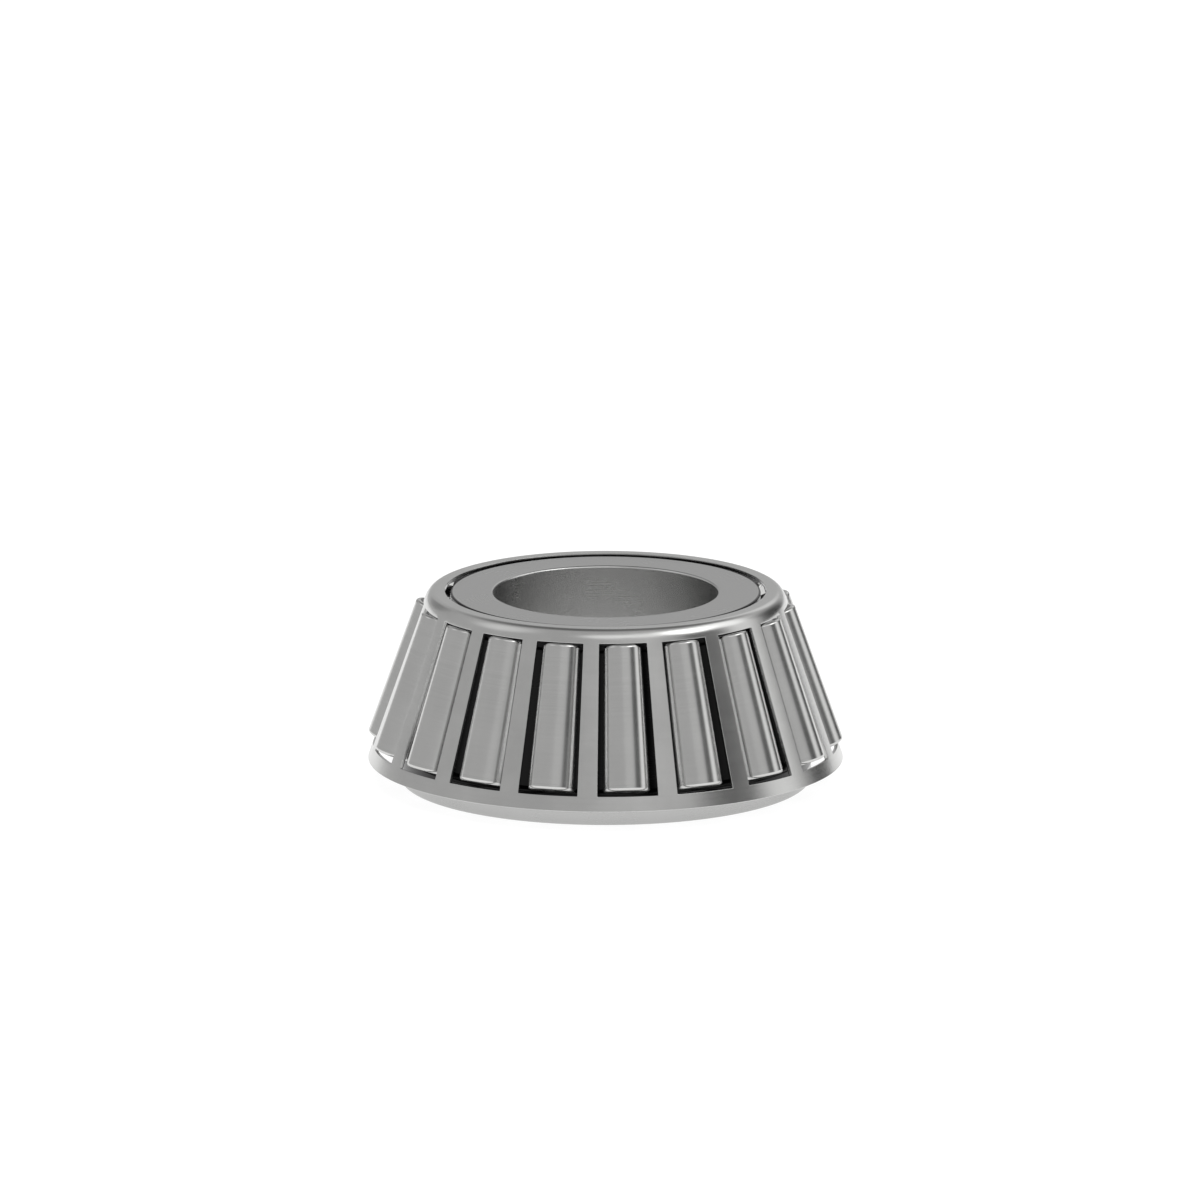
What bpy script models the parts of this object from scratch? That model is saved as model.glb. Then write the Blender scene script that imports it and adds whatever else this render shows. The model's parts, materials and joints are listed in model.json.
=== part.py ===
"""Inner assembly of a tapered roller bearing: inner ring, pressed cage and tapered rollers.

Units are metres and +Z is the bearing axis, from the wide end to the narrow end. The origin is
the centre of the wide end's face. The rollers' axes and both raceways meet at one apex on +Z.
"""
from math import cos, pi, radians, sin, tan

import bmesh
import bpy
from mathutils import Matrix, Vector

MM = 0.001

# Driving dimensions
ROLLER_COUNT = 18
FIRST_ROLLER_ANGLE = radians(-84.5)
APEX_HEIGHT = 126.7 * MM
ROLLER_AXIS_ANGLE = radians(17.72)
ROLLER_HALF_ANGLE = radians(1.93)
ROLLER_NEAR_END = 100.2 * MM   # distances of the roller's ends from the apex
ROLLER_FAR_END = 126.2 * MM
ROLLER_EDGE = 0.35 * MM
RUNNING_GAP = 0.3 * MM

RING_HEIGHT = 34.1 * MM
BORE_RADIUS = 20.0 * MM
FOOT_RADIUS = 36.6 * MM
SMALL_RIB_RADIUS = 27.6 * MM
SMALL_RIB_EDGE = 0.3 * MM
FOOT_EDGE = 0.5 * MM
NARROW_BORE_EDGE = 0.4 * MM
WIDE_BORE_EDGE = 1.0 * MM
RELIEF = 0.35 * MM             # depth of the grinding relief at both ends of the raceway

CAGE_RIM_RADIUS = 42.3 * MM
CAGE_RIM_HEIGHT = 3.85 * MM
CAGE_TOP = 34.4 * MM
CAGE_HALF_ANGLE = radians(19.3)
CAGE_LIP_RADIUS = 28.6 * MM
CAGE_BEND_RADIUS = 1.7 * MM
CAGE_SHEET = 0.7 * MM
WINDOW_BOTTOM = 6.4 * MM
WINDOW_TOP = 32.1 * MM
WINDOW_HALF_ANGLE = radians(7.54)

RING_STEPS = 72
ROLLER_STEPS = 24
BEND_STEPS = 5

STEEL = (0.60, 0.60, 0.585, 1.0)
SHEET_STEEL = (0.57, 0.57, 0.555, 1.0)


def clear_scene():
    for item in list(bpy.data.objects):
        bpy.data.objects.remove(item, do_unlink=True)


def new_collection(name):
    collection = bpy.data.collections.new(name)
    bpy.context.scene.collection.children.link(collection)
    return collection


def metal(name, colour, roughness):
    material = bpy.data.materials.new(name)
    material.use_nodes = True
    shader = material.node_tree.nodes["Principled BSDF"]
    shader.inputs["Base Color"].default_value = colour
    shader.inputs["Metallic"].default_value = 1.0
    shader.inputs["Roughness"].default_value = roughness
    return material


def profile_mesh(name, points, closed):
    """A chain of edges in the XZ plane, which a Screw modifier turns about Z."""
    mesh = bmesh.new()
    corners = [mesh.verts.new((radius, 0.0, height)) for radius, height in points]
    for start, end in zip(corners, corners[1:]):
        mesh.edges.new((start, end))
    if closed:
        mesh.edges.new((corners[-1], corners[0]))
    data = bpy.data.meshes.new(name)
    mesh.to_mesh(data)
    mesh.free()
    return data


def add_object(name, data, material, collection):
    item = bpy.data.objects.new(name, data)
    if material and not data.materials:
        data.materials.append(material)
    collection.objects.link(item)
    return item


def turn(item, steps):
    screw = item.modifiers.new("turned", "SCREW")
    screw.angle = 2 * pi
    screw.steps = steps
    screw.render_steps = steps
    screw.use_merge_vertices = True
    screw.merge_threshold = 0.00001
    screw.use_smooth_shade = False


def raceway_radius(height):
    """The inner raceway's radius, a running gap inside the cone that the rollers touch."""
    slope = ROLLER_AXIS_ANGLE - ROLLER_HALF_ANGLE
    return (APEX_HEIGHT - height) * tan(slope) - RUNNING_GAP / cos(slope)


def roller_inner_corner(distance):
    """Radius and height of a roller's innermost corner, at a distance from the apex."""
    radius = distance * tan(ROLLER_HALF_ANGLE)
    centre_radius = distance * sin(ROLLER_AXIS_ANGLE)
    centre_height = APEX_HEIGHT - distance * cos(ROLLER_AXIS_ANGLE)
    return (centre_radius - radius * cos(ROLLER_AXIS_ANGLE),
            centre_height - radius * sin(ROLLER_AXIS_ANGLE))


def rib_face_height(corner, radius):
    """Height, at a radius, of the plane through a roller's end face."""
    return corner[1] + (radius - corner[0]) * tan(ROLLER_AXIS_ANGLE)


def ring_points():
    """The inner ring's section, down its outer side and back up the bore."""
    near = roller_inner_corner(ROLLER_NEAR_END)
    far = roller_inner_corner(ROLLER_FAR_END)
    small_rib_foot = rib_face_height(near, SMALL_RIB_RADIUS) + RUNNING_GAP
    groove_top = near[1]
    groove_end = groove_top - 2 * RELIEF
    large_groove_start = far[1] + 2 * RELIEF
    large_rib_root = far[1] - RUNNING_GAP
    large_rib_top = rib_face_height(far, FOOT_RADIUS) - RUNNING_GAP
    return [
        (SMALL_RIB_RADIUS - SMALL_RIB_EDGE, RING_HEIGHT),
        (SMALL_RIB_RADIUS, RING_HEIGHT - SMALL_RIB_EDGE),
        (SMALL_RIB_RADIUS, small_rib_foot),
        (raceway_radius(groove_top) - RELIEF, groove_top),
        (raceway_radius(groove_end) - RELIEF, groove_end),
        (raceway_radius(groove_end - RELIEF), groove_end - RELIEF),
        (raceway_radius(large_groove_start), large_groove_start),
        (raceway_radius(far[1]) - RELIEF, far[1]),
        (raceway_radius(large_rib_root) - RELIEF, large_rib_root),
        (FOOT_RADIUS - RELIEF, large_rib_top - RELIEF * tan(ROLLER_AXIS_ANGLE)),
        (FOOT_RADIUS, large_rib_top - RELIEF),
        (FOOT_RADIUS, FOOT_EDGE),
        (FOOT_RADIUS - FOOT_EDGE, 0.0),
        (BORE_RADIUS + WIDE_BORE_EDGE, 0.0),
        (BORE_RADIUS, WIDE_BORE_EDGE),
        (BORE_RADIUS, RING_HEIGHT - NARROW_BORE_EDGE),
        (BORE_RADIUS + NARROW_BORE_EDGE, RING_HEIGHT),
    ]


def make_inner_ring(material, collection):
    data = profile_mesh("inner_ring", ring_points(), closed=True)
    turn(add_object("inner_ring", data, material, collection), RING_STEPS)


def cage_radius(height):
    """Radius of the cage's outer cone at a height."""
    return CAGE_RIM_RADIUS - (height - CAGE_RIM_HEIGHT) * tan(CAGE_HALF_ANGLE)


def cage_points():
    """The cage's outer surface: flat lip, rounded bend, then the cone down to the rim."""
    turn_angle = pi / 2 - CAGE_HALF_ANGLE
    bend_start = cage_radius(CAGE_TOP) - CAGE_BEND_RADIUS * tan(turn_angle / 2)
    points = [(CAGE_LIP_RADIUS, CAGE_TOP)]
    for step in range(BEND_STEPS + 1):
        angle = turn_angle * step / BEND_STEPS
        points.append((bend_start + CAGE_BEND_RADIUS * sin(angle),
                       CAGE_TOP - CAGE_BEND_RADIUS * (1 - cos(angle))))
    points.append((CAGE_RIM_RADIUS, CAGE_RIM_HEIGHT))
    return points


def roller_angle(index):
    return FIRST_ROLLER_ANGLE + 2 * pi * index / ROLLER_COUNT


def make_window_cutter(collection):
    """One tapered block for each window, standing across the cage's cone."""
    middle = (WINDOW_TOP + WINDOW_BOTTOM) / 2
    length = (WINDOW_TOP - WINDOW_BOTTOM) / cos(CAGE_HALF_ANGLE)
    depth = 8 * CAGE_SHEET
    widths = {1: 2 * cage_radius(WINDOW_TOP) * sin(WINDOW_HALF_ANGLE),
              -1: 2 * cage_radius(WINDOW_BOTTOM) * sin(WINDOW_HALF_ANGLE)}
    chord = cos(WINDOW_HALF_ANGLE)
    mesh = bmesh.new()
    for index in range(ROLLER_COUNT):
        block = bmesh.ops.create_cube(mesh, size=1.0)["verts"]
        for corner in block:
            end = 1 if corner.co.z > 0 else -1
            corner.co = (corner.co.x * depth, corner.co.y * widths[end], corner.co.z * length)
        place = (Matrix.Rotation(roller_angle(index), 4, "Z")
                 @ Matrix.Translation((cage_radius(middle) * chord, 0.0, middle))
                 @ Matrix.Rotation(-CAGE_HALF_ANGLE, 4, "Y"))
        bmesh.ops.transform(mesh, matrix=place, verts=block)
    data = bpy.data.meshes.new("window_cutter")
    mesh.to_mesh(data)
    mesh.free()
    cutter = add_object("window_cutter", data, None, collection)
    cutter.hide_render = True
    cutter.display_type = "WIRE"
    return cutter


def make_cage(material, collection, cutters):
    data = profile_mesh("cage", cage_points(), closed=False)
    cage = add_object("cage", data, material, collection)
    turn(cage, RING_STEPS)
    sheet = cage.modifiers.new("sheet", "SOLIDIFY")
    sheet.thickness = CAGE_SHEET
    sheet.offset = -1.0
    sheet.use_even_offset = True
    windows = cage.modifiers.new("windows", "BOOLEAN")
    windows.operation = "DIFFERENCE"
    windows.object = make_window_cutter(cutters)


def roller_points():
    """A roller's section about its own axis, the narrow end up."""
    half = (ROLLER_FAR_END - ROLLER_NEAR_END) / 2
    near = ROLLER_NEAR_END * tan(ROLLER_HALF_ANGLE)
    far = ROLLER_FAR_END * tan(ROLLER_HALF_ANGLE)
    return [(0.0, half), (near - ROLLER_EDGE, half), (near, half - ROLLER_EDGE),
            (far, ROLLER_EDGE - half), (far - ROLLER_EDGE, -half), (0.0, -half)]


def make_rollers(material, collection):
    data = profile_mesh("roller", roller_points(), closed=False)
    distance = (ROLLER_NEAR_END + ROLLER_FAR_END) / 2
    radius = distance * sin(ROLLER_AXIS_ANGLE)
    height = APEX_HEIGHT - distance * cos(ROLLER_AXIS_ANGLE)
    for index in range(ROLLER_COUNT):
        angle = roller_angle(index)
        roller = add_object(f"roller_{index + 1:02d}", data, material, collection)
        roller.location = Vector((radius * cos(angle), radius * sin(angle), height))
        roller.rotation_euler = (0.0, -ROLLER_AXIS_ANGLE, angle)
        turn(roller, ROLLER_STEPS)


def main():
    clear_scene()
    parts = new_collection("tapered_roller_bearing")
    cutters = new_collection("cutters")
    steel = metal("bearing_steel", STEEL, 0.28)
    make_inner_ring(steel, parts)
    make_cage(metal("cage_sheet_steel", SHEET_STEEL, 0.34), parts, cutters)
    make_rollers(metal("roller_steel", STEEL, 0.22), parts)


main()
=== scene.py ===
"""Looks for the tapered roller bearing: finer meshes, ground-steel materials, studio light."""
import json
from math import atan2, cos, pi, radians, sin, tan

import bmesh
import bpy
from mathutils import Matrix, Vector

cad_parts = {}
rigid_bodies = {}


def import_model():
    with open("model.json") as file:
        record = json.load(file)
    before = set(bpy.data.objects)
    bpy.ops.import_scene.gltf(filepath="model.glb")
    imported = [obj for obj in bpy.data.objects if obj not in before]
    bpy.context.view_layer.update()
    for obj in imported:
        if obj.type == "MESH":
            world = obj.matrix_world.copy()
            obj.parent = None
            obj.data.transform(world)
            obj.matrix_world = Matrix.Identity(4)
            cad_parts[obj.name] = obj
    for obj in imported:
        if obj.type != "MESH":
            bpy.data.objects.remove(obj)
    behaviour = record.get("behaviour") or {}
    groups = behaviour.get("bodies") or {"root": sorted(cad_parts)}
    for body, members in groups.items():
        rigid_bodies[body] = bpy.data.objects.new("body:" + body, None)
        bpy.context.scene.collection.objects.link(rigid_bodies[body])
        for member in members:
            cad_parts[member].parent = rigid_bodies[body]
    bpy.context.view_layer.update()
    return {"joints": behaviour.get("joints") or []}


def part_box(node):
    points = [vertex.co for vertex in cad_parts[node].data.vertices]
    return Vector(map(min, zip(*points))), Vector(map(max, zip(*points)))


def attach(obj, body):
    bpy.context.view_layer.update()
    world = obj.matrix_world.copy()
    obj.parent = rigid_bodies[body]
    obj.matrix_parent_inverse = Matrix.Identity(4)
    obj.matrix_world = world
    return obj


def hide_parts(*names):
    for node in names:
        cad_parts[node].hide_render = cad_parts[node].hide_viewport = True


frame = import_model()
MM = 0.001

# Sizes shared with the CAD source
APEX_HEIGHT = 126.7 * MM
ROLLER_AXIS_ANGLE = radians(17.72)
ROLLER_HALF_ANGLE = radians(1.93)
ROLLER_NEAR_END = 100.2 * MM   # distances of the roller's ends from the apex
ROLLER_FAR_END = 126.2 * MM
RUNNING_GAP = 0.3 * MM
SMALL_RIB_RADIUS = 27.6 * MM
SMALL_RIB_EDGE = 0.3 * MM
FOOT_EDGE = 0.5 * MM
BORE_RADIUS = 20.0 * MM
NARROW_BORE_EDGE = 0.4 * MM
WIDE_BORE_EDGE = 1.0 * MM
RELIEF = 0.35 * MM
CAGE_HALF_ANGLE = radians(19.3)
CAGE_LIP_RADIUS = 28.6 * MM
CAGE_SHEET = 0.7 * MM
CAGE_RIM_HEIGHT = 3.85 * MM
WINDOW_BOTTOM = 6.4 * MM
WINDOW_TOP = 32.1 * MM
WINDOW_HALF_ANGLE = radians(7.54)

# Finishing sizes of the visible surfaces
ROLLER_CORNER = 0.55 * MM
ROLLER_DIMPLE_RADIUS = 1.6 * MM
ROLLER_DIMPLE_FLOOR = 0.6 * ROLLER_DIMPLE_RADIUS
ROLLER_DIMPLE_DEPTH = 0.25 * MM
ROLLER_DIMPLE_CORNER = 0.2 * MM
RING_CORNER = 0.1 * MM         # default rounding of the ring's ground corners
SMALL_RIB_ROOT = 0.15 * MM
LARGE_RIB_CORNER = 0.35 * MM
WIDE_BORE_CORNER = 0.4 * MM
CUT_EDGE = 0.07 * MM
TOP_BEND_RADIUS = 1.5 * MM     # the cage's bend: tight from the lip, then wider into the cone
LOW_BEND_RADIUS = 3.2 * MM
BEND_CHANGE = radians(45)

# Mesh density
ARC_STEPS = 6
TOP_BEND_STEPS = 9
LOW_BEND_STEPS = 7
RING_STEPS = 360
ROLLER_STEPS = 96
BAR_STEPS = 5
WINDOW_STEPS = 15
CONE_STEPS = 8
SHARP_ANGLE = radians(40)
CUT_ANGLE = radians(50)

# Zones of another colour: a range of radii and a range of heights in millimetres, and the colour; some
# zones are painted shade
# Painted shade: near-black put where shade falls between the ring, the cage and the rollers
PAINTED_SHADE_BLACK = (0.022, 0.022, 0.022, 1.0)
# Painted shade: dark colour on the middle of the rollers' small ends, which lie in shade under the
# cage's lip
PAINTED_SHADE_END = (0.07, 0.07, 0.07, 1.0)
HONED = (0.63, 0.63, 0.625, 1.0)
FLANGE = (0.455, 0.455, 0.45, 1.0)
ZONE_FADE = 0.12 * MM
RING_ZONES = [
    # painted shade: near-black on the raceway under the cage and on the small rib beneath the cage's
    # lip
    ((26.0, 50.0), (3.2, 33.95), PAINTED_SHADE_BLACK),
    ((27.2, 50.0), (33.0, 36.0), PAINTED_SHADE_BLACK),
    ((15.0, 20.2), (0.5, 34.0), HONED),
    ((30.0, 50.0), (-1.0, 3.3), FLANGE),
]
# painted shade on the middle of each roller's small end
ROLLER_ZONES = [((-1.0, 2.7), (12.8, 14.0), PAINTED_SHADE_END)]
# painted shade: the cage sheet's inner side is coloured near-black
CAGE_ZONES = [((35.0, 43.1), (5.0, 34.05), PAINTED_SHADE_BLACK)]  # the sheet's inner side

# Camera: far away with a long lens, so that parallel edges stay nearly parallel
CAMERA_ELEVATION = 13.158
CAMERA_DISTANCE = 6.0
SENSOR = 36.0
VIEW_WIDTH = 0.21283           # what the view spans, this far in front of the axis:
VIEW_PLANE = 0.02
LOOK_AT = (-0.00099, 0.0, 0.0325)

# Studio
WORLD_BRIGHTNESS = 0.545
WORLD_COLOUR = (1.0, 1.0, 0.998, 1.0)
WORLD_ZONES = [  # azimuth, elevation, half width, soft edge, change in brightness
    (68, 17, 6, 17, -0.42),
    (101, 12, 8, 16, 0.49),
    (130, 3, 12, 16, -0.50),
    (-147, 18, 5, 10, -0.25),
    (22, 24, 8, 18, 0.08),
    (66, 45, 5, 13, 2.5),
    (32, 45, 5, 13, 0.55),
    (0, 45, 4, 13, 0.65),
    (-84, 42, 6, 16, 0.38),
    (100, 42, 6, 14, 1.0),
    (164, 30, 5, 13, 0.40),
    (180, 62, 12, 24, -0.36),
]
FLOOR_SIZE = 12.0
FLOOR_COLOUR = (0.12, 0.12, 0.12, 1.0)
FLOOR_GLOW = 0.94
LIGHT_PLACE = (0.0, -0.1, 1.6)
LIGHT_SIZE = 1.6
LIGHT_POWER = 22.0


# ---------------------------------------------------------------- mesh tools

def arc(centre, radius, start, end, steps=ARC_STEPS):
    """Points on a circular arc in the section plane; angles are measured from +X towards +Z."""
    return [(centre[0] + radius * cos(start + (end - start) * i / steps),
             centre[1] + radius * sin(start + (end - start) * i / steps))
            for i in range(steps + 1)]


def rounded(corners):
    """A closed section of (point, radius) corners, each rounded by a tangent arc of its radius."""
    result = []
    for index, (point, radius) in enumerate(corners):
        here = Vector(point)
        if not radius:
            result.append(tuple(here))
            continue
        before = Vector(corners[index - 1][0]) - here
        after = Vector(corners[(index + 1) % len(corners)][0]) - here
        half = before.angle(after) / 2
        reach = min(radius / tan(half), before.length * 0.45, after.length * 0.45)
        true_radius = reach * tan(half)
        before.normalize()
        after.normalize()
        centre = here + (before + after).normalized() * (true_radius / sin(half))
        first = here + before * reach - centre
        last = here + after * reach - centre
        begin = atan2(first.y, first.x)
        sweep = (atan2(last.y, last.x) - begin + pi) % (2 * pi) - pi
        result += arc(centre, true_radius, begin, begin + sweep)
    return result


def add_object(name, data):
    item = bpy.data.objects.new(name, data)
    bpy.context.scene.collection.objects.link(item)
    return item


def finished_mesh(name, mesh):
    """Mesh data made from a bmesh, which is freed."""
    data = bpy.data.meshes.new(name)
    mesh.to_mesh(data)
    mesh.free()
    return data


def lathe(name, points, steps, closed):
    """A section in the XZ plane turned about Z, as a new mesh object."""
    mesh = bmesh.new()
    corners = [mesh.verts.new((radius, 0.0, height)) for radius, height in points]
    for start, end in zip(corners, corners[1:]):
        mesh.edges.new((start, end))
    if closed:
        mesh.edges.new((corners[-1], corners[0]))
    item = add_object(name, finished_mesh(name, mesh))
    screw = item.modifiers.new("turned", "SCREW")
    screw.angle = 2 * pi
    screw.steps = steps
    screw.render_steps = steps
    screw.use_merge_vertices = True
    screw.merge_threshold = 0.000001
    return item


def shade_evenly(item):
    weighted = item.modifiers.new("even_shading", "WEIGHTED_NORMAL")
    weighted.keep_sharp = True


def settle(item):
    """Applies the modifiers, then shades the mesh smooth with sharp corners kept."""
    graph = bpy.context.evaluated_depsgraph_get()
    data = bpy.data.meshes.new_from_object(item.evaluated_get(graph))
    item.modifiers.clear()
    item.data = data
    data.shade_smooth()
    data.set_sharp_from_angle(angle=SHARP_ANGLE)
    shade_evenly(item)
    return item


# ---------------------------------------------------------------- materials

class Nodes:
    """Short names for building a material's node tree."""

    def __init__(self, name):
        self.material = bpy.data.materials.new(name)
        self.material.use_nodes = True
        self.tree = self.material.node_tree
        self.shader = self.tree.nodes["Principled BSDF"]

    def add(self, kind, **values):
        node = self.tree.nodes.new(kind)
        for key, value in values.items():
            setattr(node, key, value)
        return node

    def link(self, output, socket):
        self.tree.links.new(output, socket)

    def feed(self, socket, value):
        """Gives a socket a fixed value, or links it to another node's output."""
        if isinstance(value, (int, float, tuple)):
            socket.default_value = value
        else:
            self.link(value, socket)

    def math(self, operation, first, second=0.0):
        node = self.add("ShaderNodeMath", operation=operation)
        for socket, value in zip(node.inputs, (first, second)):
            self.feed(socket, value)
        return node.outputs[0]

    def noise(self, vector, scale, detail=3.0, roughness=0.55):
        node = self.add("ShaderNodeTexNoise")
        node.inputs["Scale"].default_value = scale
        node.inputs["Detail"].default_value = detail
        node.inputs["Roughness"].default_value = roughness
        self.link(vector, node.inputs["Vector"])
        return node.outputs["Fac"]

    def remap(self, value, low, high, new_low, new_high):
        node = self.add("ShaderNodeMapRange")
        for socket, number in zip(("From Min", "From Max", "To Min", "To Max"),
                                  (low, high, new_low, new_high)):
            node.inputs[socket].default_value = number
        self.link(value, node.inputs["Value"])
        return node.outputs["Result"]

    def mix(self, factor, first, second):
        node = self.add("ShaderNodeMix", data_type="RGBA")
        sockets = [socket for socket in node.inputs if socket.enabled]
        for socket, value in zip(sockets, (factor, first, second)):
            self.feed(socket, value)
        return [socket for socket in node.outputs if socket.enabled][0]

    def bump(self, height, distance, strength, normal=None):
        node = self.add("ShaderNodeBump")
        node.inputs["Distance"].default_value = distance
        node.inputs["Strength"].default_value = strength
        self.link(height, node.inputs["Height"])
        if normal:
            self.link(normal, node.inputs["Normal"])
        return node.outputs["Normal"]


def turned_coordinates(nodes):
    """The point in object coordinates, its distance from the axis and its height along it."""
    position = nodes.add("ShaderNodeTexCoord").outputs["Object"]
    split = nodes.add("ShaderNodeSeparateXYZ")
    nodes.link(position, split.inputs[0])
    across, deep, height = split.outputs
    square = nodes.math("ADD", nodes.math("MULTIPLY", across, across),
                        nodes.math("MULTIPLY", deep, deep))
    return position, nodes.math("SQRT", square), height


def blend(nodes, first, second, share):
    """A weighted sum, with this share of the first."""
    return nodes.math("ADD", nodes.math("MULTIPLY", first, share),
                      nodes.math("MULTIPLY", second, 1.0 - share))


def colour_zones(nodes, colour, radius, height, zones):
    """The colour, replaced inside each zone by the zone's colour, which for some zones is painted
    shade.
    """
    for radii, heights, zone_colour in zones:
        share = 1.0
        for value, limits in ((radius, radii), (height, heights)):
            low, high = (limit * MM for limit in limits)
            above = nodes.remap(value, low, low + ZONE_FADE, 0.0, 1.0)
            below = nodes.remap(value, high - ZONE_FADE, high, 1.0, 0.0)
            share = nodes.math("MULTIPLY", nodes.math("MULTIPLY", above, below), share)
        colour = nodes.mix(share, colour, zone_colour)
    return colour


def steel(name, light, dark, roughness, spread, mark_scale, mark_depth, mottle, zones, lean=0.0):
    """Steel with turning or grinding marks round its axis, faint smudges, uneven gloss and zones of
    other colour, some of them painted shade.

    The zones' radii are those at height 0 of cones that narrow upwards by lean.
    """
    nodes = Nodes(name)
    position, radius, height = turned_coordinates(nodes)
    along = nodes.add("ShaderNodeCombineXYZ")
    nodes.link(radius, along.inputs["X"])
    nodes.link(height, along.inputs["Z"])
    marks = nodes.noise(along.outputs[0], mark_scale, detail=4.0, roughness=0.7)
    fine = nodes.noise(position, 2600.0, detail=2.0)
    smudge = nodes.noise(position, 95.0, detail=4.0, roughness=0.6)
    tone = nodes.remap(blend(nodes, smudge, marks, mottle), 0.35, 0.65, 0.0, 1.0)
    base_radius = nodes.math("ADD", radius, nodes.math("MULTIPLY", height, lean))
    colour = colour_zones(nodes, nodes.mix(tone, dark, light), base_radius, height, zones)
    gloss = nodes.remap(blend(nodes, smudge, marks, 0.6), 0.3, 0.7,
                        roughness - spread, roughness + spread)
    ground = nodes.bump(marks, mark_depth, 0.35)
    inputs = nodes.shader.inputs
    nodes.link(colour, inputs["Base Color"])
    nodes.link(gloss, inputs["Roughness"])
    nodes.link(nodes.bump(fine, mark_depth * 0.5, 0.25, ground), inputs["Normal"])
    inputs["Metallic"].default_value = 1.0
    return nodes.material


# ---------------------------------------------------------------- pieces

def show(piece, node, body, material):
    """Puts a finished piece in place of a CAD node, riding on the node's body."""
    piece.data.materials.clear()
    piece.data.materials.append(material)
    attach(piece, body)
    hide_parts(node)


def raceway_radius(height):
    """The inner raceway's radius, a running gap inside the cone that the rollers touch."""
    slope = ROLLER_AXIS_ANGLE - ROLLER_HALF_ANGLE
    return (APEX_HEIGHT - height) * tan(slope) - RUNNING_GAP / cos(slope)


def roller_inner_corner(distance):
    """Radius and height of a roller's innermost corner, at a distance from the apex."""
    radius = distance * tan(ROLLER_HALF_ANGLE)
    return (distance * sin(ROLLER_AXIS_ANGLE) - radius * cos(ROLLER_AXIS_ANGLE),
            APEX_HEIGHT - distance * cos(ROLLER_AXIS_ANGLE) - radius * sin(ROLLER_AXIS_ANGLE))


def ring_section():
    """Corners of the inner ring's section, each with the radius that rounds it."""
    low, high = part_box("inner_ring")
    top, foot = high.z, high.x
    near_radius, near = roller_inner_corner(ROLLER_NEAR_END)
    far_radius, far = roller_inner_corner(ROLLER_FAR_END)
    tilt = tan(ROLLER_AXIS_ANGLE)
    small_rib_root = near + (SMALL_RIB_RADIUS - near_radius) * tilt + RUNNING_GAP
    large_rib_top = far + (foot - far_radius) * tilt - RUNNING_GAP
    raceway = [  # heights down the raceway, and how deep the grinding relief is there
        (near, RELIEF), (near - 2 * RELIEF, RELIEF), (near - 3 * RELIEF, 0.0),
        (far + 2 * RELIEF, 0.0), (far, RELIEF), (far - RUNNING_GAP, RELIEF)]
    return [
        ((SMALL_RIB_RADIUS, top), SMALL_RIB_EDGE),
        ((SMALL_RIB_RADIUS, small_rib_root), SMALL_RIB_ROOT),
        *(((raceway_radius(height) - depth, height), RING_CORNER) for height, depth in raceway),
        ((foot, large_rib_top), LARGE_RIB_CORNER),
        ((foot, low.z), FOOT_EDGE),
        ((BORE_RADIUS + WIDE_BORE_EDGE, low.z), WIDE_BORE_CORNER),
        ((BORE_RADIUS, low.z + WIDE_BORE_EDGE), WIDE_BORE_CORNER),
        ((BORE_RADIUS, top), NARROW_BORE_EDGE),
    ]


def make_ring(material):
    ring = lathe("inner_ring_ground", rounded(ring_section()), RING_STEPS, closed=True)
    show(settle(ring), "inner_ring", "inner_ring", material)


def roller_joints():
    return [joint for joint in frame["joints"] if joint["parent"] == "cage"]


def joint_angle(joint):
    """The angle about the bearing's axis at which a joint stands."""
    return atan2(joint["pos_m"][1], joint["pos_m"][0])


def bend_points(cone, top):
    """The cage's bend, from the lip's flat top to where it runs into the cone."""
    end = CAGE_HALF_ANGLE
    drop = TOP_BEND_RADIUS * (1 - sin(BEND_CHANGE)) + LOW_BEND_RADIUS * (sin(BEND_CHANGE) - sin(end))
    reach = TOP_BEND_RADIUS * cos(BEND_CHANGE) + LOW_BEND_RADIUS * (cos(end) - cos(BEND_CHANGE))
    start = cone(top - drop)[0] - reach
    wider = LOW_BEND_RADIUS - TOP_BEND_RADIUS
    upper_centre = (start, top - TOP_BEND_RADIUS)
    lower_centre = (start - wider * cos(BEND_CHANGE), top - TOP_BEND_RADIUS - wider * sin(BEND_CHANGE))
    upper = arc(upper_centre, TOP_BEND_RADIUS, pi / 2, BEND_CHANGE, TOP_BEND_STEPS)
    return upper + arc(lower_centre, LOW_BEND_RADIUS, BEND_CHANGE, end, LOW_BEND_STEPS)[1:]


def cage_outline():
    """The cage's outer surface from lip to rim, and its rows at the windows' two ends."""
    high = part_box("cage")[1]

    def cone(height):
        return high.x - (height - CAGE_RIM_HEIGHT) * tan(CAGE_HALF_ANGLE), height

    outline = [(CAGE_LIP_RADIUS, high.z)] + bend_points(cone, high.z)
    first_row = len(outline)
    length = WINDOW_TOP - WINDOW_BOTTOM
    outline += [cone(WINDOW_TOP - length * row / CONE_STEPS) for row in range(CONE_STEPS + 1)]
    outline.append((high.x, CAGE_RIM_HEIGHT))
    return outline, first_row, first_row + CONE_STEPS


def cage_columns():
    """The angle of each column of the cage's grid, and whether the strip after it has a window."""
    middles = sorted(joint_angle(joint) % (2 * pi) for joint in roller_joints())
    bar_angle = 2 * pi / len(middles) - 2 * WINDOW_HALF_ANGLE
    columns = []
    for middle in middles:
        for step in range(WINDOW_STEPS):
            part = step / WINDOW_STEPS
            columns.append((middle - WINDOW_HALF_ANGLE * (1 - 2 * part), True))
        for step in range(BAR_STEPS):
            part = step / BAR_STEPS
            columns.append((middle + WINDOW_HALF_ANGLE + bar_angle * part, False))
    return columns


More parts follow.
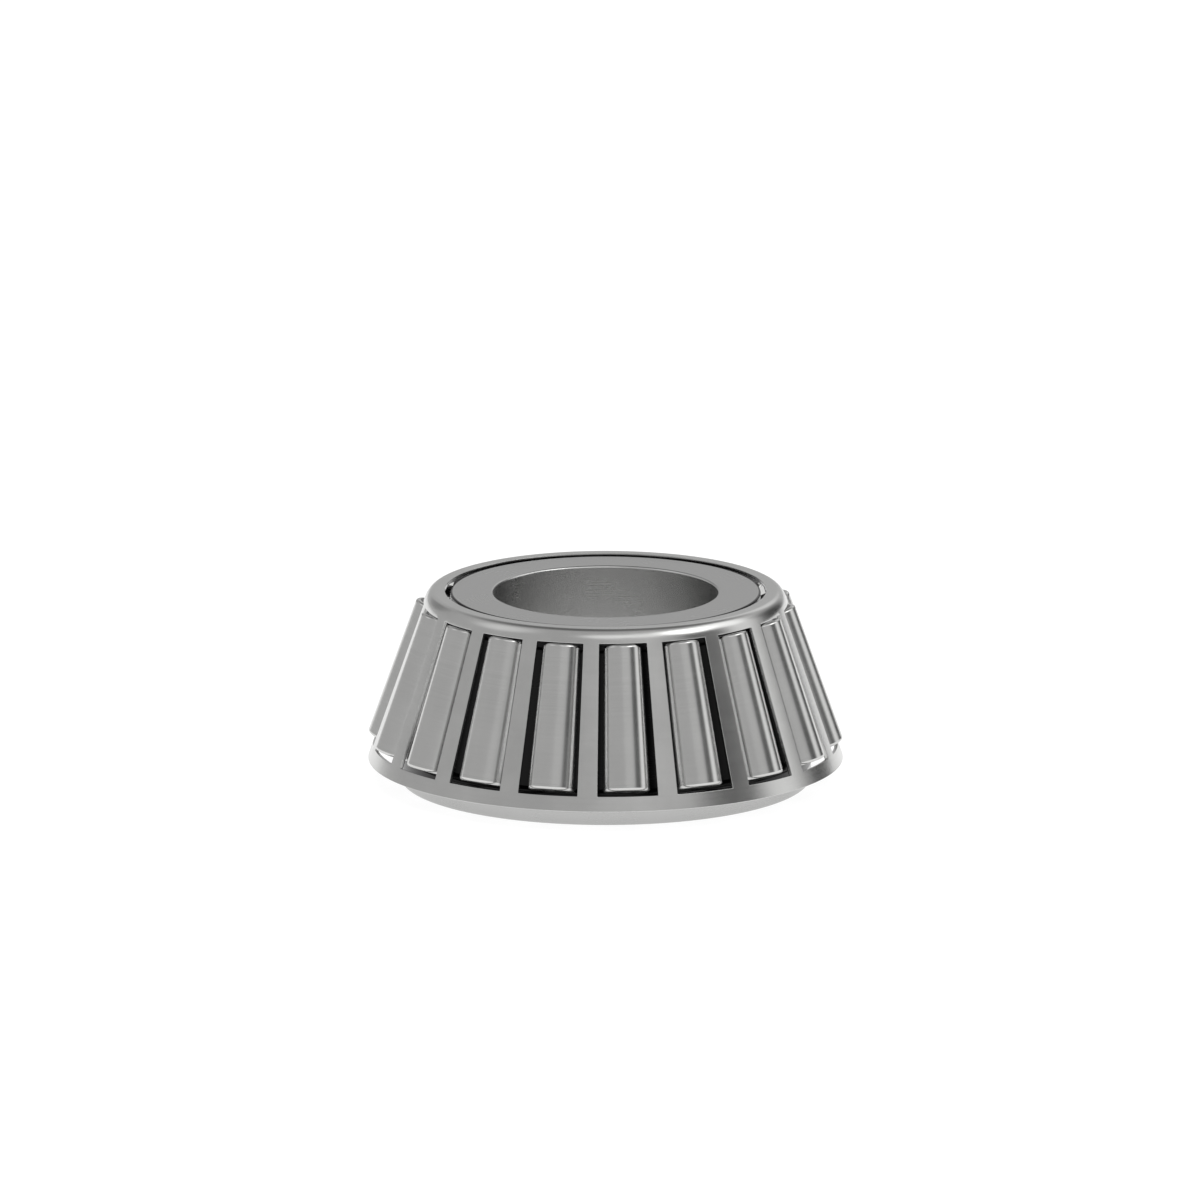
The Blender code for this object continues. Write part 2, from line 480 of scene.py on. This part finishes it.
def cage_skin():
    """The cage's outer surface as a grid whose columns follow the window edges."""
    outline, first, last = cage_outline()
    columns = cage_columns()
    mesh = bmesh.new()
    grid = [[mesh.verts.new((radius * cos(angle), radius * sin(angle), height))
             for radius, height in outline] for angle, _ in columns]
    for index, (_, in_window) in enumerate(columns):
        here, there = grid[index], grid[(index + 1) % len(grid)]
        for row in range(len(outline) - 1):
            if not (in_window and first <= row < last):
                mesh.faces.new((here[row], here[row + 1], there[row + 1], there[row]))
    bmesh.ops.delete(mesh, geom=[v for v in mesh.verts if not v.link_faces], context="VERTS")
    bmesh.ops.recalc_face_normals(mesh, faces=mesh.faces)
    if sum(face.normal.dot(face.calc_center_median()) for face in mesh.faces) < 0:
        bmesh.ops.reverse_faces(mesh, faces=mesh.faces)
    return finished_mesh("cage_pressed", mesh)


def make_cage(material):
    """The skin thickened inwards to the sheet, with its cut edges broken."""
    cage = add_object("cage_pressed", cage_skin())
    sheet = cage.modifiers.new("sheet", "SOLIDIFY")
    sheet.thickness = CAGE_SHEET
    sheet.offset = -1.0
    sheet.use_even_offset = True
    edges = cage.modifiers.new("edges", "BEVEL")
    edges.width = CUT_EDGE
    edges.segments = 3
    edges.limit_method = "ANGLE"
    edges.angle_limit = CUT_ANGLE
    show(settle(cage), "cage", "cage", material)


def roller_section():
    """Half of a roller's section, from the narrow end's middle to the wide end's middle."""
    half = (ROLLER_FAR_END - ROLLER_NEAR_END) / 2
    near = ROLLER_NEAR_END * tan(ROLLER_HALF_ANGLE)
    far = ROLLER_FAR_END * tan(ROLLER_HALF_ANGLE)
    dimple = ROLLER_DIMPLE_DEPTH - half
    return rounded([
        ((0.0, half), 0.0),
        ((near, half), ROLLER_CORNER),
        ((far, -half), ROLLER_CORNER),
        ((ROLLER_DIMPLE_RADIUS, -half), ROLLER_DIMPLE_CORNER),
        ((ROLLER_DIMPLE_FLOOR, dimple), ROLLER_DIMPLE_CORNER),
        ((0.0, dimple), 0.0),
    ])


def make_rollers(material):
    master = settle(lathe("roller_master", roller_section(), ROLLER_STEPS, closed=False))
    data = master.data
    bpy.data.objects.remove(master)
    for joint in roller_joints():
        node = joint["child"]
        roller = add_object(f"{node}_ground", data)
        roller.matrix_world = (Matrix.Translation(joint["pos_m"])
                               @ Matrix.Rotation(joint_angle(joint), 4, "Z")
                               @ Matrix.Rotation(-ROLLER_AXIS_ANGLE, 4, "Y"))
        roller.visible_glossy = False  # keeps the rollers' flanks from mirroring one another
        shade_evenly(roller)
        show(roller, node, node, material)


# ---------------------------------------------------------------- studio

def direction(azimuth, elevation):
    """Unit vector: azimuth 0 points at the camera's side (-Y), 90 to the right (+X)."""
    turn, lift = radians(azimuth), radians(elevation)
    return sin(turn) * cos(lift), -cos(turn) * cos(lift), sin(lift)


def world_zone(tree, ray, azimuth, elevation, half_width, soft_edge, change):
    """The change in brightness that one round zone of the dome makes, fading at its edge."""
    dot = tree.nodes.new("ShaderNodeVectorMath")
    dot.operation = "DOT_PRODUCT"
    tree.links.new(ray, dot.inputs[0])
    dot.inputs[1].default_value = direction(azimuth, elevation)
    fade = tree.nodes.new("ShaderNodeMapRange")
    fade.interpolation_type = "SMOOTHSTEP"
    fade.inputs["From Min"].default_value = cos(radians(half_width + soft_edge))
    fade.inputs["From Max"].default_value = cos(radians(half_width))
    fade.inputs["To Max"].default_value = change
    tree.links.new(dot.outputs["Value"], fade.inputs["Value"])
    return fade.outputs["Result"]


def make_world():
    """A soft, mostly even dome with a few broad brighter and darker zones, as studio cards give."""
    world = bpy.data.worlds.new("studio")
    bpy.context.scene.world = world
    world.use_nodes = True
    tree = world.node_tree
    background = tree.nodes["Background"]
    background.inputs["Color"].default_value = WORLD_COLOUR
    ray = tree.nodes.new("ShaderNodeTexCoord").outputs["Generated"]
    total = tree.nodes.new("ShaderNodeValue").outputs[0]
    total.default_value = WORLD_BRIGHTNESS
    for zone in WORLD_ZONES:
        add = tree.nodes.new("ShaderNodeMath")
        add.operation = "ADD"
        tree.links.new(total, add.inputs[0])
        tree.links.new(world_zone(tree, ray, *zone), add.inputs[1])
        total = add.outputs[0]
    tree.links.new(total, background.inputs["Strength"])


def make_floor():
    floor_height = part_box("inner_ring")[0].z
    bpy.ops.mesh.primitive_plane_add(size=FLOOR_SIZE, location=(0, 0, floor_height))
    floor = bpy.context.active_object
    floor.name = "studio_floor"
    material = bpy.data.materials.new("pale_floor")
    material.use_nodes = True
    inputs = material.node_tree.nodes["Principled BSDF"].inputs
    inputs["Base Color"].default_value = FLOOR_COLOUR
    inputs["Roughness"].default_value = 0.9
    inputs["Specular IOR Level"].default_value = 0.1
    inputs["Emission Color"].default_value = (1.0, 1.0, 1.0, 1.0)
    inputs["Emission Strength"].default_value = FLOOR_GLOW
    floor.data.materials.append(material)


def make_overhead_light():
    """A broad round light above the bearing, which the steel doesn't mirror."""
    data = bpy.data.lights.new("overhead", "AREA")
    data.shape = "DISK"
    data.size = LIGHT_SIZE
    data.energy = LIGHT_POWER
    light = add_object("overhead", data)
    light.location = LIGHT_PLACE
    light.rotation_euler = (-Vector(LIGHT_PLACE)).to_track_quat("-Z", "Y").to_euler()
    light.visible_glossy = False


def make_camera():
    data = bpy.data.cameras.new("camera")
    data.sensor_width = SENSOR
    data.lens = SENSOR * (CAMERA_DISTANCE - VIEW_PLANE) / VIEW_WIDTH
    data.clip_start = 0.1
    data.clip_end = 30.0
    camera = add_object("camera", data)
    camera.location = Vector(LOOK_AT) + Vector(direction(0, CAMERA_ELEVATION)) * CAMERA_DISTANCE
    camera.rotation_euler = (radians(90 - CAMERA_ELEVATION), 0.0, 0.0)
    bpy.context.scene.camera = camera


def main():
    make_camera()
    make_world()
    make_floor()
    make_overhead_light()
    make_ring(steel("ring_steel", light=(0.49, 0.49, 0.485, 1.0), dark=(0.44, 0.44, 0.435, 1.0),
                    roughness=0.26, spread=0.035, mark_scale=5200.0, mark_depth=0.008 * MM,
                    mottle=0.35, zones=RING_ZONES))
    make_cage(steel("sheet_steel", light=(0.60, 0.60, 0.592, 1.0), dark=(0.54, 0.54, 0.533, 1.0),
                    roughness=0.22, spread=0.04, mark_scale=2500.0, mark_depth=0.01 * MM,
                    mottle=0.8, zones=CAGE_ZONES, lean=tan(CAGE_HALF_ANGLE)))
    make_rollers(steel("roller_steel", light=(0.62, 0.62, 0.612, 1.0), dark=(0.56, 0.56, 0.553, 1.0),
                       roughness=0.20, spread=0.04, mark_scale=6500.0, mark_depth=0.01 * MM,
                       mottle=0.4, zones=ROLLER_ZONES))
    bpy.context.scene.view_settings.view_transform = "Standard"


main()
